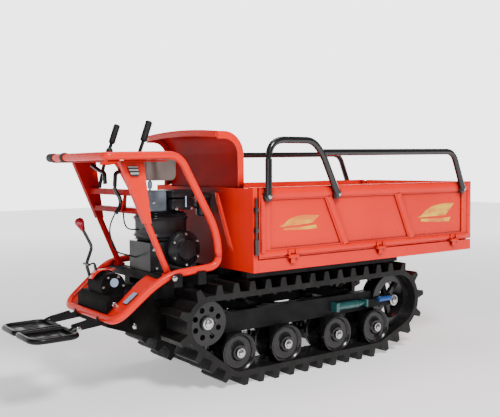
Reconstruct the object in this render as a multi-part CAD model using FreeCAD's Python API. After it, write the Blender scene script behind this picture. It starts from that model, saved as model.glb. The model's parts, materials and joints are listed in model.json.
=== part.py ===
import FreeCAD, Part
import math
import os

# Crawler carrier: a small tracked dumper with a tipping drop-side bed and an open operator's end.
# Millimetres. x = 0 midway between the step's tip and the tail, +X towards the bed's tail,
# y = 0 on the middle plane, z = 0 on the ground. The right side is -Y.

Vector = FreeCAD.Vector
AXIS_Y = Vector(0, 1, 0)

# Bed
bed_front_x = -300.0
bed_length = 1500.0
bed_width = 850.0
bed_bottom_z = 520.0
sill_height = 55.0
sill_width = 38.0
tail_sill = 30.0
floor_sheet = 6.0
floor_drop = 9.0
board_top_z = 896.0
board_thickness = 25.0
wall_thickness = 25.0
corner_post = 38.0
hinge_stand_off = 10.0
knuckle_radius = 9.0
hinge_pin_radius = 5.5
running_gap = 0.3
body_gap = 6.0
board_gap = 6.0

# Tipping gear
tip_x = 820.0
tip_z = 500.0
tip_pin_radius = 14.0
lift_x = -60.0
lift_z = 440.0
lift_eye_x = 560.0
lift_eye_z = 490.0
lift_barrel_radius = 26.0
lift_barrel_length = 430.0
lift_rod_radius = 12.0
lift_pin_radius = 8.0
runner_y = 115.0
runner_width = 40.0
side_runner_y = 312.0
side_runner_height = 36.0
side_runner_end_x = 711.0
outrigger_x = [-640.0, -520.0]
outrigger_top_z = 520.0
saddle_top_z = 536.0

# Chassis
rail_width = 50.0
rail_top_z = 480.0
rail_height = 80.0
rail_front_x = -640.0
rail_rear_x = 790.0
tie_size = 50.0
tie_top_z = 345.0

# Tracks
track_y = 243.0
track_width = 180.0
belt_thickness = 26.0
lug_height = 42.0
lug_length = 44.0
guide_height = 22.0
guide_length = 28.0
guide_width = 14.0
guide_y = 18.0
pitch = 90.0
shoe_count = 36
sprocket_teeth = 8
sprocket_x = -461.0
sprocket_z = 299.0
roller_radius = 80.0
idler_radius = 137.0
idler_z = 271.0
idler_x_guess = 725.0
roller_disc_y = 60.0
roller_disc_thickness = 26.0
beam_width = 56.0
beam_bottom_z = 235.0
beam_height = 95.0

# Operator's end
guard_y = 305.0
case_half = 148.0
guard_tube_radius = 17.0
guard_bend = 45.0
console_z = 1035.0
console_front_x = -951.0
leg_y = 235.0
lever_y = 155.0
lever_x = -722.0
step_hinge_x = -1000.0
step_hinge_z = 322.0
step_tip_x = -1230.0
step_width = 430.0
step_thickness = 22.0

bed_tail_x = bed_front_x + bed_length
half_bed = bed_width / 2
sill_top_z = bed_bottom_z + sill_height
board_bottom_z = sill_top_z + board_gap
floor_top_z = sill_top_z - floor_drop
hinge_y = half_bed + hinge_stand_off
hinge_z = board_bottom_z
roller_z = belt_thickness + lug_height + roller_radius

nodes = {}


def box(x0, x1, y0, y1, z0, z1):
    return Part.makeBox(x1 - x0, y1 - y0, z1 - z0, Vector(x0, y0, z0))


def rod(start, end, radius):
    start = Vector(*start)
    end = Vector(*end)
    return Part.makeCylinder(radius, (end - start).Length, start, end - start)


def union(shapes):
    if len(shapes) == 1:
        return shapes[0]
    return shapes[0].multiFuse(shapes[1:]).removeSplitter()


def plate(outline, y0, y1):
    """Flat outline of (x, z) points, from y0 to y1."""
    points = [Vector(x, y0, z) for x, z in outline]
    face = Part.Face(Part.makePolygon(points + points[:1]))
    return face.extrude(Vector(0, y1 - y0, 0))


def turned(profile, x, y, z):
    """Profile of (radius, offset) points turned about the line along Y through (x, y, z)."""
    points = [Vector(x + r, y + d, z) for r, d in profile]
    face = Part.Face(Part.makePolygon(points + points[:1]))
    return face.revolve(Vector(x, y, z), AXIS_Y, 360)


def bent_path(points, bend):
    """Straight runs joined by tangent arcs of the given bend radius, or less on a short run."""
    points = [Vector(*p) for p in points]
    edges = []
    start = points[0]
    for before, corner, after in zip(points, points[1:], points[2:]):
        back = (before - corner).normalize()
        ahead = (after - corner).normalize()
        half = back.getAngle(ahead) / 2
        room = 0.45 * min((before - corner).Length, (after - corner).Length)
        trim = min(bend / math.tan(half), room)
        radius = trim * math.tan(half)
        first = corner + back * trim
        last = corner + ahead * trim
        inward = (back + ahead).normalize()
        middle = corner + inward * (math.hypot(radius, trim) - radius)
        edges.append(Part.LineSegment(start, first).toShape())
        edges.append(Part.Arc(first, middle, last).toShape())
        start = last
    edges.append(Part.LineSegment(start, points[-1]).toShape())
    return Part.Wire(edges)


def bent_rod(points, bend, radius):
    points = [Vector(*p) for p in points]
    path = bent_path(points, bend)
    ring = Part.Wire(Part.makeCircle(radius, points[0], points[1] - points[0]))
    return path.makePipeShell([ring], True, False)


def mirrored(shape):
    return shape.mirror(Vector(0, 0, 0), AXIS_Y)


def both_sides(name, shape):
    """The shape is the right-hand piece; the left-hand one is its mirror image."""
    nodes[name + "_right"] = shape
    nodes[name + "_left"] = mirrored(shape)


# The track's wheels in the order the belt meets them: name, x, z, radius at the belt's middle
def belt_wheels(idler_x):
    middle = belt_thickness / 2
    return [
        (sprocket_x, sprocket_z, sprocket_teeth * pitch / (2 * math.pi)),
        (roller_x[0], roller_z, roller_radius + middle),
        (roller_x[-1], roller_z, roller_radius + middle),
        (idler_x, idler_z, idler_radius + middle),
    ]


roller_x = [-303.0, -31.0, 292.0, 567.0]


def belt_runs(wheels, grow=0.0):
    """Lines and arcs of the loop round the wheels, seen with +X right and +Z up, anticlockwise."""
    angles = []
    for (ax, az, ar), (bx, bz, br) in zip(wheels, wheels[1:] + wheels[:1]):
        gap = math.hypot(bx - ax, bz - az)
        course = math.atan2(bz - az, bx - ax)
        angles.append(course - math.acos((ar - br) / gap))
    runs = []
    for i, (x, z, r) in enumerate(wheels):
        first = angles[i - 1]
        last = angles[i]
        while last < first:
            last += 2 * math.pi
        reach = r + grow
        runs.append(("arc", x, z, reach, first, last))
        bx, bz, br = wheels[(i + 1) % len(wheels)]
        a = angles[i]
        p = (x + reach * math.cos(a), z + reach * math.sin(a))
        q = (bx + (br + grow) * math.cos(a), bz + (br + grow) * math.sin(a))
        runs.append(("line", p, q))
    return runs


def run_length(run):
    if run[0] == "arc":
        return run[3] * (run[5] - run[4])
    return math.dist(run[1], run[2])


def belt_wire(wheels, grow, y):
    edges = []
    for run in belt_runs(wheels, grow):
        if run[0] == "arc":
            kind, x, z, r, a, b = run
            ends = [Vector(x + r * math.cos(t), y, z + r * math.sin(t)) for t in (a, (a + b) / 2, b)]
            edges.append(Part.Arc(*ends).toShape())
        else:
            kind, p, q = run
            edges.append(Part.LineSegment(Vector(p[0], y, p[1]), Vector(q[0], y, q[1])).toShape())
    return Part.Wire(edges)


def belt_station(wheels, distance):
    """Point on the belt's middle line and the angle of its outward normal."""
    for run in belt_runs(wheels):
        length = run_length(run)
        if distance <= length:
            if run[0] == "arc":
                kind, x, z, r, a, b = run
                t = a + distance / r
                return x + r * math.cos(t), z + r * math.sin(t), t
            kind, p, q = run
            share = distance / length
            normal = math.atan2(q[1] - p[1], q[0] - p[0]) - math.pi / 2
            return p[0] + share * (q[0] - p[0]), p[1] + share * (q[1] - p[1]), normal
        distance -= length
    raise ValueError("distance is longer than the belt")


def fitted_idler_x():
    """The tensioner sets the idler where the belt's middle line is a whole number of shoes."""
    low = idler_x_guess - 80
    high = idler_x_guess + 80
    for step in range(40):
        middle = (low + high) / 2
        if sum(run_length(run) for run in belt_runs(belt_wheels(middle))) < shoe_count * pitch:
            low = middle
        else:
            high = middle
    return (low + high) / 2


idler_x = fitted_idler_x()
wheels = belt_wheels(idler_x)


def belt_block(distance, inner, outer, inner_length, outer_length, y0, y1):
    """Tapered block across the belt; inner and outer are heights from its middle line."""
    x, z, normal = belt_station(wheels, distance)
    out = (math.cos(normal), math.sin(normal))
    along = (-out[1], out[0])
    corners = [(inner, -inner_length), (inner, inner_length), (outer, outer_length), (outer, -outer_length)]
    outline = [
        (x + h * out[0] + w / 2 * along[0], z + h * out[1] + w / 2 * along[1]) for h, w in corners
    ]
    return plate(outline, y0, y1)


def track():
    low = -track_y - track_width / 2
    half = belt_thickness / 2
    outer = Part.Face(belt_wire(wheels, half, low))
    inner = Part.Face(belt_wire(wheels, -half, low))
    belt = outer.cut(inner).extrude(Vector(0, track_width, 0))
    blocks = []
    for shoe in range(shoe_count):
        s = (shoe + 0.5) * pitch
        blocks.append(belt_block(s, half - 4, half + lug_height, lug_length, lug_length * 0.55,
                                 low, low + track_width))
        for row in (-1, 1):
            y = -track_y + row * guide_y
            blocks.append(belt_block(s, 4 - half, -half - guide_height, guide_length, guide_length * 0.5,
                                     y - guide_width / 2, y + guide_width / 2))
    return belt.multiFuse(blocks)


def drive_sprocket():
    """Cage sprocket: two holed discs joined by drive pins that stand between the guide lugs."""
    disc_y = 46.0
    disc_thickness = 10.0
    disc_radius = wheels[0][2] - belt_thickness / 2 - 1
    pin_circle = disc_radius - 14
    pin_radius = 9.0
    hub_radius = 34.0
    hub_half = 62.0
    first = belt_runs(wheels)[0][4] + 0.5 * pitch / wheels[0][2]
    step = 2 * math.pi / sprocket_teeth
    parts = [rod((sprocket_x, -track_y - hub_half, sprocket_z), (sprocket_x, -case_half - running_gap, sprocket_z), hub_radius)]
    holes = []
    for side in (-1, 1):
        y = -track_y + side * disc_y
        parts.append(rod((sprocket_x, y - disc_thickness / 2, sprocket_z),
                         (sprocket_x, y + disc_thickness / 2, sprocket_z), disc_radius))
    for tooth in range(sprocket_teeth):
        a = first + (tooth + 0.5) * step
        x = sprocket_x + pin_circle * math.cos(a)
        z = sprocket_z + pin_circle * math.sin(a)
        parts.append(rod((x, -track_y - disc_y, z), (x, -track_y + disc_y, z), pin_radius))
        b = first + tooth * step
        x = sprocket_x + 0.64 * disc_radius * math.cos(b)
        z = sprocket_z + 0.64 * disc_radius * math.sin(b)
        holes.append(rod((x, -track_y - 60, z), (x, -track_y + 60, z), 13))
    return union(parts).cut(Part.makeCompound(holes))


axle_radius = 15.0


def roller(x):
    """Two dished discs on one axle, clear of the guide lugs between them."""
    inner = roller_disc_y - roller_disc_thickness / 2
    outer = roller_disc_y + roller_disc_thickness / 2
    end = outer + 14
    half = [
        (axle_radius, 0), (axle_radius, inner - 4), (30, inner - 4), (30, inner + 4),
        (roller_radius - 16, inner + 4), (roller_radius - 12, inner), (roller_radius, inner),
        (roller_radius, outer), (roller_radius - 12, outer), (roller_radius - 16, outer - 8),
        (34, outer - 8), (30, outer + 4), (22, outer + 4), (22, end),
    ]
    profile = [(0, -end)] + [(r, -d) for r, d in reversed(half)] + half[1:] + [(0, end)]
    return turned(profile, x, -track_y, roller_z)


def idler():
    """Spoked idler: two rims either side of the guide lugs, on one barrel."""
    rim_in = guide_y + guide_width / 2 + 4
    rim_out = rim_in + 14
    barrel = idler_radius - guide_height - 6
    hub = 32.0
    spoke_width = 24.0
    rim_profile = [
        (barrel - 12, -rim_out), (idler_radius - 0.4, -rim_out), (idler_radius - 0.4, -rim_in), (barrel, -rim_in),
        (barrel, rim_in), (idler_radius - 0.4, rim_in), (idler_radius - 0.4, rim_out), (barrel - 12, rim_out),
    ]
    parts = [turned(rim_profile, idler_x, -track_y, idler_z)]
    parts.append(rod((idler_x, -track_y - rim_out, idler_z), (idler_x, -track_y + rim_out, idler_z), hub))
    for spoke in range(6):
        bar = box(idler_x + hub - 8, idler_x + barrel - 6, -track_y - 12, -track_y + 12,
                  idler_z - spoke_width / 2, idler_z + spoke_width / 2)
        bar.rotate(Vector(idler_x, 0, idler_z), AXIS_Y, spoke * 60 + 15)
        parts.append(bar)
    bore = rod((idler_x, -track_y - 100, idler_z), (idler_x, -track_y + 100, idler_z), axle_radius + running_gap)
    return union(parts).cut(bore)


def track_frame():
    """Beam with a bearing hanger for each roller and a fork that carries the idler's axle."""
    start_x = roller_x[0] - 46
    end_x = roller_x[-1] + 10
    beam_top = beam_bottom_z + beam_height
    parts = [box(start_x, end_x, -track_y - beam_width / 2, -track_y + beam_width / 2, beam_bottom_z, beam_top)]
    bores = []
    for x in roller_x:
        parts.append(box(x - 28, x + 28, -track_y - 24, -track_y + 24, roller_z, beam_bottom_z))
        parts.append(rod((x, -track_y - 24, roller_z), (x, -track_y + 24, roller_z), 28))
        bores.append(rod((x, -track_y - 30, roller_z), (x, -track_y + 30, roller_z), axle_radius + running_gap))
    arm_in = guide_y + guide_width / 2 + 4 + 14 + 4
    arm_out = arm_in + 8
    for side in (-1, 1):
        y = -track_y + side * (arm_in + arm_out) / 2
        parts.append(box(end_x - 60, idler_x + 24, y - 4, y + 4, idler_z - 20, idler_z + 20))
        spacer = sorted((-track_y + side * (beam_width / 2 - 2), y))
        parts.append(box(end_x - 60, end_x - 20, spacer[0], spacer[1], idler_z - 20, idler_z + 20))
    parts.append(rod((idler_x, -track_y - arm_out - 8, idler_z), (idler_x, -track_y + arm_out + 8, idler_z), axle_radius))
    return union(parts).cut(Part.makeCompound(bores))


def tensioner():
    """Grease cylinder and its rod, on the beam's outer face, pushing the idler's fork."""
    y = -track_y - beam_width / 2 - 22
    z = idler_z + 8
    parts = [
        rod((310, y, z), (455, y, z), 20),
        rod((450, y, z), (507, y, z), 9),
        rod((462, y, z), (476, y, z), 16),
        box(296, 316, y - 20, -track_y - beam_width / 2, z - 22, z + 22),
        box(505, 517, y - 20, -track_y - beam_width / 2, z - 18, z + 18),
    ]
    return union(parts)


def chassis():
    rail_bottom = rail_top_z - rail_height
    parts = []
    for side in (-1, 1):
        y = side * runner_y
        parts.append(box(rail_front_x, rail_rear_x, y - rail_width / 2, y + rail_width / 2, rail_bottom, rail_top_z))
    for x in (rail_front_x, -250.0, lift_x - 80, rail_rear_x - 40):
        parts.append(box(x, x + 40, -runner_y, runner_y, rail_bottom + 5, rail_top_z - 25))
    for x in (-180.0, 420.0):
        parts.append(box(x, x + tie_size, -track_y + beam_width / 2, track_y - beam_width / 2,
                         tie_top_z - tie_size, tie_top_z))
        for side in (-1, 1):
            y = side * runner_y
            parts.append(box(x, x + tie_size, y - 6, y + 6, tie_top_z - 2, rail_bottom + 2))
    for side in (-1, 1):
        inner = runner_y + runner_width / 2 + body_gap
        y0, y1 = sorted((side * inner, side * (inner + 12)))
        parts.append(plate([(rail_rear_x - 90, rail_bottom + 10), (tip_x + 26, rail_bottom + 30),
                            (tip_x + 26, tip_z + 26), (tip_x - 26, tip_z + 26)], y0, y1))
        y0, y1 = sorted((side * (runner_y + rail_width / 2 - 4), side * (inner + 12)))
        parts.append(box(rail_rear_x - 80, rail_rear_x, y0, y1, rail_bottom + 12, rail_bottom + 40))
        y0, y1 = sorted((side * 18, side * 28))
        parts.append(plate([(lift_x - 50, lift_z - 20), (lift_x + 14, lift_z - 14), (lift_x + 14, lift_z + 14),
                            (lift_x - 50, lift_z + 10)], y0, y1))
    for x in outrigger_x:
        reach = guard_y + guard_tube_radius
        parts.append(box(x, x + 40, -reach, reach, rail_top_z, outrigger_top_z))
        for y0, y1 in ((-reach, -reach + 30), (reach - 30, reach)):
            parts.append(box(x, x + 40, y0, y1, outrigger_top_z - 2, saddle_top_z))
    bores = [
        rod((tip_x, -300, tip_z), (tip_x, 300, tip_z), tip_pin_radius + running_gap),
        rod((lift_x, -50, lift_z), (lift_x, 50, lift_z), lift_pin_radius + running_gap),
        guard_tube(),
        mirrored(guard_tube()),
    ]
    return union(parts).cut(Part.makeCompound(bores))


def tip_pins():
    reach = runner_y + runner_width / 2 + body_gap + 12 + 10
    return Part.makeCompound([
        rod((tip_x, -reach, tip_z), (tip_x, reach, tip_z), tip_pin_radius),
        rod((lift_x, -34, lift_z), (lift_x, 34, lift_z), lift_pin_radius),
    ])


def lift_course():
    return math.atan2(lift_eye_z - lift_z, lift_eye_x - lift_x), math.dist((lift_x, lift_z), (lift_eye_x, lift_eye_z))


def swung(shape):
    """Turn a cylinder part modelled along +X from its lower pin to its real course."""
    angle, length = lift_course()
    shape.rotate(Vector(lift_x, 0, lift_z), AXIS_Y, -math.degrees(angle))
    return shape


def lift_barrel():
    x = lift_x
    z = lift_z
    end = x + lift_barrel_length
    body = [
        rod((x + 34, 0, z), (end, 0, z), lift_barrel_radius),
        rod((end - 26, 0, z), (end, 0, z), lift_barrel_radius + 4),
        rod((x, -15, z), (x, 15, z), 20),
        box(x, x + 40, -15, 15, z - 14, z + 14),
    ]
    bore = rod((x + 120, 0, z), (end + 10, 0, z), lift_rod_radius + running_gap)
    eye = rod((x, -20, z), (x, 20, z), lift_pin_radius + running_gap)
    return swung(union(body).cut(Part.makeCompound([bore, eye])))


def lift_rod():
    angle, length = lift_course()
    x = lift_x + length
    z = lift_z
    shaft = rod((x - 360, 0, z), (x - 12, 0, z), lift_rod_radius)
    eye = rod((x, -12, z), (x, 12, z), 20).cut(rod((x, -20, z), (x, 20, z), 9))
    return swung(union([shaft, eye]))


def lift_bracket():
    """Two cheeks under the bed with short trunnions, one each side of the rod's eye."""
    parts = []
    for side in (-1, 1):
        y0, y1 = sorted((side * 18, side * 26))
        parts.append(plate([(lift_eye_x - 34, bed_bottom_z), (lift_eye_x - 18, lift_eye_z - 18),
                            (lift_eye_x + 18, lift_eye_z - 18), (lift_eye_x + 34, bed_bottom_z)], y0, y1))
        parts.append(rod((lift_eye_x, side * 13, lift_eye_z), (lift_eye_x, side * 20, lift_eye_z), 13))
        y0, y1 = sorted((side * 18, side * 60))
        parts.append(box(lift_eye_x - 34, lift_eye_x + 34, y0, y1, bed_bottom_z - 6, bed_bottom_z))
    parts.append(box(lift_eye_x - 110, lift_eye_x - 34, -60, 60, bed_bottom_z - 6, bed_bottom_z))
    parts.append(box(lift_eye_x - 36, lift_eye_x - 32, -60, 60, bed_bottom_z - 6, bed_bottom_z))
    return union(parts)


def bed_floor():
    x0 = bed_front_x + wall_thickness
    x1 = bed_tail_x
    tray = box(x0, x1, -half_bed, half_bed, bed_bottom_z, sill_top_z)
    under = box(x0 + sill_width, x1 - sill_width, -half_bed + sill_width, half_bed - sill_width,
                bed_bottom_z, floor_top_z - floor_sheet)
    over = box(x0, x1 - tail_sill, -half_bed + tail_sill, half_bed - tail_sill, floor_top_z, sill_top_z)
    tray = tray.cut(Part.makeCompound([under, over]))
    ribs = []
    for x in (-60.0, 180.0, 420.0, 660.0, 900.0):
        ribs.append(box(x, x + 40, -half_bed + sill_width - 2, half_bed - sill_width + 2,
                        bed_bottom_z, floor_top_z - floor_sheet + 2))
    return union([tray] + ribs)


def bed_runners():
    parts = []
    for side in (-1, 1):
        y = side * side_runner_y
        parts.append(box(bed_front_x + 30, side_runner_end_x, y - 20, y + 20,
                         bed_bottom_z - side_runner_height, bed_bottom_z))
        y = side * runner_y
        bar = box(bed_front_x + 30, tip_x + 30, y - runner_width / 2, y + runner_width / 2,
                  rail_top_z + running_gap, bed_bottom_z)
        boss = rod((tip_x, y - runner_width / 2, tip_z), (tip_x, y + runner_width / 2, tip_z), 24)
        bore = rod((tip_x, y - 50, tip_z), (tip_x, y + 50, tip_z), tip_pin_radius + running_gap)
        parts.append(bar.fuse(boss).common(box(-2000, 2000, -400, 400, 400, bed_bottom_z)).cut(bore))
    return Part.makeCompound(parts)


def front_wall():
    y = half_bed
    post_top = board_top_z
    wall = box(bed_front_x, bed_front_x + wall_thickness, -y + corner_post, y - corner_post, bed_bottom_z, board_top_z - 4)
    parts = [wall]
    for side in (-1, 1):
        y0, y1 = sorted((side * y, side * (y - corner_post)))
        parts.append(box(bed_front_x, bed_front_x + wall_thickness, y0, y1, bed_bottom_z, post_top))
    return union(parts)


board_front_x = bed_front_x + wall_thickness + board_gap
board_rear_x = bed_tail_x


def side_board():
    """Pressed board: three shallow fields parted by slanted ribs, with hinge knuckles below."""
    recess = 6.0
    y0 = -half_bed
    panel = box(board_front_x, board_rear_x, y0, y0 + board_thickness, board_bottom_z, board_top_z)
    top = board_top_z - 56
    bottom = board_bottom_z + 40
    # field corners as shares of the board: top left, top right, bottom right, bottom left
    fields = [
        (0.044, 0.263, 0.333, 0.044),
        (0.291, 0.585, 0.653, 0.360),
        (0.613, 0.946, 0.946, 0.681),
    ]
    cuts = []
    for shares in fields:
        corners = [board_front_x + share * (board_rear_x - board_front_x) for share in shares]
        outline = list(zip(corners, (top, top, bottom, bottom)))
        cuts.append(plate(outline, y0 - 5, y0 + recess))
    board = panel.cut(Part.makeCompound(cuts))
    knuckles = []
    for x in hinge_x:
        for shift in (-28, 14):
            knuckles.append(rod((x + shift, -hinge_y, hinge_z), (x + shift + 14, -hinge_y, hinge_z), knuckle_radius))
            knuckles.append(box(x + shift, x + shift + 14, -hinge_y - 2, y0 + 2, hinge_z + 2, hinge_z + 30))
    bores = [rod((x - 60, -hinge_y, hinge_z), (x + 60, -hinge_y, hinge_z), hinge_pin_radius + running_gap) for x in hinge_x]
    return union([board] + knuckles).cut(Part.makeCompound(bores))


hinge_x = [bed_front_x + share * bed_length for share in (0.144, 0.52, 0.896)]


def board_hinges():
    """Bed half of each hinge: one knuckle on the sill, with the pin."""
    parts = []
    for x in hinge_x:
        knuckle = rod((x - 13, -hinge_y, hinge_z), (x + 13, -hinge_y, hinge_z), knuckle_radius)
        leaf = box(x - 13, x + 13, -hinge_y - 2, -half_bed, hinge_z - 32, hinge_z - 3)
        pin = rod((x - 32, -hinge_y, hinge_z), (x + 32, -hinge_y, hinge_z), hinge_pin_radius)
        parts.append(union([knuckle, leaf, pin]))
    return Part.makeCompound(parts)


rail_radius = 16.0


def side_rail():
    """Front hoop with one long lower bar, both bolted to the board by flat feet."""
    y = -half_bed - rail_radius - 3
    hoop = [(-228, y, 862), (-226, y, 1105), (30, y, 1105), (84, y, 1050), (184, y, 862)]
    bar = [(88, y, 1053), (935, y, 1058), (1022, y, 1058), (1108, y, 862)]
    parts = [bent_rod(hoop, 45, rail_radius), bent_rod(bar, 45, rail_radius)]
    for x in (-228, 184, 1108):
        parts.append(box(x - 18, x + 18, y - 6, -half_bed, 848, 884))
    return union(parts)


gate_hinge_z = 872.0
gate_hinge_x = bed_tail_x - 17
gate_pin_radius = 7.0
post_out = half_bed - board_thickness - body_gap
post_in = post_out - 36
gate_half = post_in - body_gap


def tail_posts():
    parts = []
    for side in (-1, 1):
        y0, y1 = sorted((side * post_in, side * post_out))
        post = box(bed_tail_x - tail_sill, bed_tail_x - 2, y0, y1, sill_top_z, board_top_z - 4)
        pin = rod((gate_hinge_x, side * post_out, gate_hinge_z), (gate_hinge_x, side * (gate_half - 20), gate_hinge_z),
                  gate_pin_radius)
        y2, y3 = sorted((side * (post_out - 8), side * (post_out - 18)))
        hook = plate([(bed_tail_x - 4, 740), (bed_tail_x + 30, 760), (bed_tail_x + 30, 792), (bed_tail_x + 18, 792),
                      (bed_tail_x + 18, 772), (bed_tail_x - 4, 792)], y2, y3)
        parts.append(post.fuse([pin, hook]))
    return Part.makeCompound([p.removeSplitter() for p in parts])


def tailgate():
    """Gate hung from its top corners, with two pressed fields."""
    x0 = bed_tail_x - 29
    x1 = bed_tail_x - 5
    panel = box(x0, x1, -gate_half, gate_half, sill_top_z + body_gap, board_top_z)
    cuts = []
    for a, b in ((-gate_half + 40, -22), (22, gate_half - 40)):
        cuts.append(box(x1 - 5, x1 + 5, a, b, sill_top_z + 50, board_top_z - 60))
    for side in (-1, 1):
        cuts.append(rod((gate_hinge_x, side * (gate_half + 5), gate_hinge_z),
                        (gate_hinge_x, side * (gate_half - 25), gate_hinge_z), gate_pin_radius + running_gap))
    return panel.cut(Part.makeCompound(cuts))


def hood():
    """Sheet headboard that curls forward over the engine, with a flange down each side."""
    half = 318.0
    sheet = 4.0
    back_x = bed_front_x + wall_thickness + running_gap + sheet
    bend = 105.0
    low = board_top_z - 60
    bend_z = 1040.0
    lip_x = -413.0

    def skin(inset):
        r = bend - inset
        cx = back_x - bend
        mid = math.radians(45)
        return [
            Part.LineSegment(Vector(back_x - inset, -half, low), Vector(back_x - inset, -half, bend_z)).toShape(),
            Part.Arc(Vector(cx + r, -half, bend_z), Vector(cx + r * math.cos(mid), -half, bend_z + r * math.sin(mid)),
                     Vector(cx, -half, bend_z + r)).toShape(),
            Part.LineSegment(Vector(cx, -half, bend_z + r), Vector(lip_x, -half, bend_z + r)).toShape(),
        ]

    outer = skin(0)
    inner = skin(sheet)
    ends = [
        Part.LineSegment(outer[2].Vertexes[1].Point, inner[2].Vertexes[1].Point).toShape(),
        Part.LineSegment(inner[0].Vertexes[0].Point, outer[0].Vertexes[0].Point).toShape(),
    ]
    section = Part.Face(Part.Wire(Part.__sortEdges__(outer + inner + ends)))
    return section.extrude(Vector(0, 2 * half, 0))


def guard_tube():
    """Side tube of the operator's frame, from the console round the engine and down to the fender."""
    points = [
        (console_front_x, console_z), (-608, 1039), (-575, 976), (-431, 743), (-401, 622),
        (-444, 559), (-557, 543), (-665, 536), (-737, 505), (-868, 404), (-922, 350),
    ]
    return bent_rod([(x, -guard_y, z) for x, z in points], guard_bend, guard_tube_radius)


console_panel_top = console_z - guard_tube_radius
console_panel_thickness = 6.0


def console_bars():
    """Front bar of the console, the bar that carries the tank, and the low bar at the fender's lip."""
    end = guard_y - guard_tube_radius + 4
    bars = [
        rod((console_front_x + 17, -end, console_z), (console_front_x + 17, end, console_z), guard_tube_radius),
        rod((tank_bar_x, -end, tank_bar_z), (tank_bar_x, end, tank_bar_z), 13),
        rod((-915, -end, 356), (-915, end, 356), 14),
    ]
    tubes = Part.makeCompound([guard_tube(), mirrored(guard_tube())])
    return Part.makeCompound([bar.cut(tubes) for bar in bars])


def console_panel():
    panel = box(console_front_x + 36, tank_bar_x - 36, -guard_y, guard_y,
                console_panel_top - console_panel_thickness, console_panel_top)
    slots = [box(lever_x - 34, lever_x + 34, s * lever_y - 18, s * lever_y + 18, 900, 1100) for s in (-1, 1)]
    return panel.cut(Part.makeCompound(slots))


leg_top_z = console_panel_top - console_panel_thickness


def leg():
    """Pressed console leg, wide under the console and narrowing to a tube."""
    y = -leg_y
    sheet = plate([(-845, leg_top_z), (-736, leg_top_z), (-703, 751), (-735, 751)], y - 14, y + 14)
    foot = rod((-719, y, 755), (-620, y, outrigger_top_z + 8), 14)
    pad = box(-640, -600, y - 20, y + 20, outrigger_top_z, outrigger_top_z + 10)
    return union([sheet, foot, pad])


def leg_bars():
    half = leg_y - 14
    return Part.makeCompound([
        box(-772, -736, -half, half, 868, 894),
        box(-752, -722, -half, half, 790, 814),
    ])


def fender():
    """Open tray between the low tubes: a sheet down each side and one behind the lip."""
    def level(x):
        return 349 + (x + 922) * 0.705
    outline = [(-930, level(-930)), (-670, level(-670)), (-670, level(-670) + 5), (-930, level(-930) + 5)]
    sheet = plate(outline, -guard_y, guard_y)
    opening = box(-880, -600, -170, 170, 300, 700)
    tubes = Part.makeCompound([guard_tube(), mirrored(guard_tube())] + console_bars().Solids)
    return max(sheet.cut(opening).cut(tubes).Solids, key=lambda solid: solid.Volume)


def gear_case():
    """Transmission between the tracks; its axle stubs carry the sprockets."""
    top = rail_top_z - rail_height - 2
    outline = [(-872, 312), (-667, 238), (-497, 184), (-420, 184), (-380, 230), (-380, top), (-646, top),
               (-646, 440), (-850, 440), (-872, 420)]
    case = plate(outline, -case_half, case_half)
    drum = rod((-800, -70, 470), (-800, 70, 470), 58)
    return union([case, drum])


engine_x = -520.0
engine_base_z = outrigger_top_z


def engine_crankcase():
    x = engine_x
    body = box(x - 110, x + 100, -95, 105, engine_base_z, engine_base_z + 130)
    shaft = rod((x + 20, 100, engine_base_z + 90), (x + 20, 150, engine_base_z + 90), 30)
    return union([body, shaft])


def engine_cylinder():
    x = engine_x
    z0 = engine_base_z + 130
    parts = [box(x - 60, x + 60, -50, 60, z0, z0 + 140)]
    for fin in range(8):
        z = z0 + 8 + fin * 16
        parts.append(box(x - 85, x + 80, -78, 88, z, z + 6))
    parts.append(box(x - 70, x + 65, -60, 70, z0 + 138, z0 + 170))
    return union(parts)


def fan_housing():
    x = engine_x + 50
    y = -95
    z = engine_base_z + 95
    return turned([(0, -60), (45, -60), (52, -48), (78, -40), (84, -30), (84, 0), (0, 0)], x, y, z)


def air_filter():
    x = engine_x
    z = engine_base_z + 300
    return box(x - 60, x + 70, -90, 50, z, z + 60)


def muffler():
    x = engine_x + 130
    can = rod((x, -40, engine_base_z + 170), (x, -40, engine_base_z + 340), 34)
    elbow = rod((engine_x + 50, 0, engine_base_z + 285), (x, 0, engine_base_z + 285), 14)
    return can.fuse(elbow).cut(engine_cylinder()).removeSplitter()


tank_bar_x = -620.0
tank_bar_z = 1038.0


def fuel_tank():
    top = tank_bar_z - 13
    block = box(tank_bar_x - 30, tank_bar_x + 120, -110, 110, top - 96, top)
    low = [edge for edge in block.Edges if edge.BoundBox.ZMax < top - 90 and edge.BoundBox.YLength > 200]
    return block.makeFillet(26, low)


step_ear_y = 128.0
step_ear = 12.0
step_pin_radius = 8.0


def step_bracket():
    """Arms from the low bar to the step's hinge, each with its half of the pin."""
    parts = []
    for side in (-1, 1):
        y0, y1 = sorted((side * (step_ear_y - 18), side * (step_ear_y - body_gap)))
        parts.append(plate([(step_hinge_x - 16, step_hinge_z - 16), (-880, 318), (-872, 334), (-872, 358), (-900, 358),
                            (step_hinge_x - 16, step_hinge_z + 16)], y0, y1))
        parts.append(rod((step_hinge_x, side * (step_ear_y - 10), step_hinge_z),
                         (step_hinge_x, side * (step_ear_y + step_ear + 8), step_hinge_z), step_pin_radius))
    low_bar = console_bars().Solids[-1]
    return Part.makeCompound([union(parts[i:i + 2]).cut(low_bar) for i in (0, 2)])


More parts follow.
